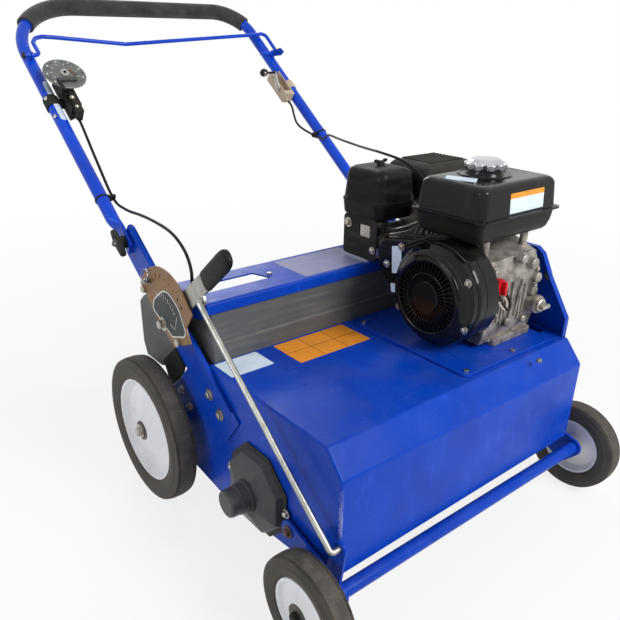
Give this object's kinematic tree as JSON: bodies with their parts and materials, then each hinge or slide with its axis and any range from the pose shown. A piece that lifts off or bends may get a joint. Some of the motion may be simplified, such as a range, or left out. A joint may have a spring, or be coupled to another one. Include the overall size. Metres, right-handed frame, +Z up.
{
  "type": "walk-behind slit seeder",
  "caption": "Walk-behind slit seeder with a blade reel under a blue deck, a depth lever and rod, a seed hopper, a small petrol engine and a folding handle.",
  "frame": {"origin": "on the ground below the middle of the bounding box", "axes": "+X to the right of someone who faces the machine's front wall, +Y from the front wall to the operator, +Z up"},
  "size_m": [0.804, 1.3602, 0.9798],
  "materials": {
    "blue_paint": "gloss blue powder coat, lightly worn",
    "blue_tube": "gloss bright blue powder coat",
    "zinc": "zinc plated",
    "gold_zinc": "yellow zinc plated, brown and dull",
    "steel": "bare steel",
    "cast": "cast, bead blasted",
    "black_gloss": "gloss black paint",
    "black_plastic": "satin black",
    "grey_plastic": "moulded dark grey, dusty",
    "rubber": "matte black rubber",
    "tyre": "matte black, dusty tread",
    "white_rim": "gloss white paint",
    "foam": "matte black foam sleeve",
    "chrome": "chrome plated",
    "red_plastic": "red moulding"
  },
  "bodies": {
    "chassis": {"deck_shell": "blue_paint", "engine_pad": "blue_paint", "belt_guard": "blue_paint", "depth_quadrant": "gold_zinc", "rear_axle": "zinc", "drive_belt": "rubber", "bearing_cover_left": "grey_plastic", "bearing_plate_right": "steel", "seed_hopper": "grey_plastic", "rear_curtain": "rubber", "cross_plate": "blue_paint", "crankcase": "cast", "cylinder_head": "cast", "spark_plug_cap": "black_plastic", "blower_housing": "black_gloss", "recoil_cover": "black_gloss", "fuel_tank": "black_gloss", "air_cleaner_base": "black_plastic", "air_cleaner_cover": "black_plastic", "carburettor": "cast", "muffler": "black_plastic", "handle_bracket_right": "blue_paint", "handle_bracket_left": "blue_paint", "seed_cable": "black_plastic", "throttle_cable": "black_plastic"},
    "carriage": {"front_carriage": "blue_paint"},
    "lever": {"depth_lever": "zinc", "depth_lever_grip": "black_plastic"},
    "rod": {"depth_rod": "zinc"},
    "stop_pin": {"stop_pin": "zinc"},
    "reel": {"blade_reel": "steel", "reel_pulley": "steel"},
    "crank": {"crankshaft": "steel", "engine_pulley": "steel"},
    "rear_left_wheel": {"rear_left_tyre": "tyre", "rear_left_rim": "white_rim"},
    "rear_right_wheel": {"rear_right_tyre": "tyre", "rear_right_rim": "white_rim"},
    "front_left_wheel": {"front_left_tyre": "tyre", "front_left_rim": "white_rim"},
    "front_right_wheel": {"front_right_tyre": "tyre", "front_right_rim": "white_rim"},
    "gate": {"seed_gate": "zinc"},
    "handle": {"handle_tube": "blue_tube", "handle_grip": "foam", "dial_bracket": "black_plastic", "throttle_bracket": "zinc"},
    "knob_right": {"fold_knob_right": "black_plastic"},
    "knob_left": {"fold_knob_left": "black_plastic"},
    "bail": {"bail_rod": "blue_tube", "bail_bracket": "blue_paint"},
    "dial": {"seed_dial": "zinc"},
    "throttle": {"throttle_lever": "black_plastic"},
    "fuel_cap": {"fuel_cap": "chrome"},
    "oil_cap": {"oil_cap": "zinc"},
    "cleaner_nut": {"air_cleaner_nut": "black_plastic"},
    "choke": {"choke_lever": "black_plastic"},
    "fuel_tap": {"fuel_lever": "zinc"},
    "starter": {"starter_grip": "black_plastic"},
    "switch": {"ignition_knob": "red_plastic"}
  },
  "joints": [
    {"name": "lever_swing", "type": "hinge", "parent": "chassis", "child": "lever", "pos_m": [-0.3365, -0.10018, 0.406], "axis": [1, 0, 0], "range_deg": [-24, 0]},
    {"name": "rod_swing", "type": "hinge", "parent": "lever", "child": "rod", "pos_m": [-0.3485, -0.24124, 0.49725], "axis": [1, 0, 0], "range_deg": [0, 23]},
    {"name": "carriage_tilt", "type": "hinge", "parent": "chassis", "child": "carriage", "pos_m": [0, -0.47469, 0.153], "axis": [1, 0, 0], "range_deg": [-30, 0]},
    {"name": "stop_pin_pull", "type": "slide", "parent": "chassis", "child": "stop_pin", "axis": [-1, 0, 0], "range_m": [0, 0.02], "stiffness_N_per_m": 120, "springref_m": -0.01},
    {"name": "reel_turn", "type": "hinge", "parent": "chassis", "child": "reel", "pos_m": [0, -0.37468, 0.174], "axis": [1, 0, 0], "continuous": true},
    {"name": "crank_turn", "type": "hinge", "parent": "chassis", "child": "crank", "pos_m": [0.302, -0.41469, 0.4706], "axis": [1, 0, 0], "continuous": true},
    {"name": "rear_left_roll", "type": "hinge", "parent": "chassis", "child": "rear_left_wheel", "pos_m": [-0.3689, -0.04509, 0.155], "axis": [1, 0, 0], "continuous": true},
    {"name": "rear_right_roll", "type": "hinge", "parent": "chassis", "child": "rear_right_wheel", "pos_m": [0.3689, -0.04509, 0.155], "axis": [1, 0, 0], "continuous": true},
    {"name": "front_left_roll", "type": "hinge", "parent": "carriage", "child": "front_left_wheel", "pos_m": [-0.3765, -0.58369, 0.0964], "axis": [1, 0, 0], "continuous": true},
    {"name": "front_right_roll", "type": "hinge", "parent": "carriage", "child": "front_right_wheel", "pos_m": [0.3765, -0.58369, 0.0964], "axis": [1, 0, 0], "continuous": true},
    {"name": "gate_slide", "type": "slide", "parent": "chassis", "child": "gate", "axis": [1, 0, 0], "range_m": [0, 0.02]},
    {"name": "handle_fold", "type": "hinge", "parent": "chassis", "child": "handle", "pos_m": [0, 0.07591, 0.5221], "axis": [1, 0, 0], "range_deg": [-75, 0], "deforming": ["seed_cable", "throttle_cable"]},
    {"name": "knob_right_turn", "type": "hinge", "parent": "chassis", "child": "knob_right", "pos_m": [0.3291, 0.07591, 0.5221], "axis": [1, 0, 0], "continuous": true},
    {"name": "knob_left_turn", "type": "hinge", "parent": "chassis", "child": "knob_left", "pos_m": [-0.3291, 0.07591, 0.5221], "axis": [1, 0, 0], "continuous": true},
    {"name": "bail_squeeze", "type": "hinge", "parent": "handle", "child": "bail", "pos_m": [0, 0.48694, 0.85822], "axis": [1, 0, 0], "range_deg": [0, 40], "stiffness_Nm_per_rad": 2, "springref_deg": -34.38},
    {"name": "dial_turn", "type": "hinge", "parent": "handle", "child": "dial", "pos_m": [-0.299, 0.39336, 0.82297], "axis": [0, -0.6004, 0.7997], "range_deg": [0, 270]},
    {"name": "throttle_swing", "type": "hinge", "parent": "handle", "child": "throttle", "pos_m": [0.26, 0.39978, 0.77277], "axis": [1, 0, 0], "range_deg": [-15, 45]},
    {"name": "fuel_cap_turn", "type": "hinge", "parent": "chassis", "child": "fuel_cap", "pos_m": [0.19, -0.39369, 0.6771], "axis": [0, 0, 1], "range_deg": [0, 90]},
    {"name": "oil_cap_turn", "type": "hinge", "parent": "chassis", "child": "oil_cap", "pos_m": [0.258, -0.51168, 0.4326], "axis": [0, -1, 0], "range_deg": [0, 360]},
    {"name": "cleaner_nut_turn", "type": "hinge", "parent": "chassis", "child": "cleaner_nut", "pos_m": [0.1165, -0.19268, 0.6711], "axis": [0, 0, 1], "range_deg": [0, 360]},
    {"name": "choke_swing", "type": "hinge", "parent": "chassis", "child": "choke", "pos_m": [0.0857, -0.21868, 0.5368], "axis": [1, 0, 0], "range_deg": [0, 60]},
    {"name": "fuel_tap_swing", "type": "hinge", "parent": "chassis", "child": "fuel_tap", "pos_m": [0.0857, -0.19068, 0.5168], "axis": [1, 0, 0], "range_deg": [0, 60]},
    {"name": "starter_pull", "type": "slide", "parent": "chassis", "child": "starter", "axis": [0, 0.4695, 0.8829], "range_m": [0, 0.6], "stiffness_N_per_m": 25, "springref_m": -0.4},
    {"name": "switch_turn", "type": "hinge", "parent": "chassis", "child": "switch", "pos_m": [0.132, -0.48968, 0.4946], "axis": [0, -1, 0], "range_deg": [0, 45]}
  ],
  "couplings": [
    {"joint": "carriage_tilt", "follows": "lever_swing", "ratio": 1.25},
    {"joint": "rod_swing", "follows": "lever_swing", "ratio": -0.9575},
    {"joint": "crank_turn", "follows": "reel_turn", "ratio": 2.7647},
    {"joint": "gate_slide", "follows": "dial_turn", "m_per_rad": 0.0042441}
  ]
}
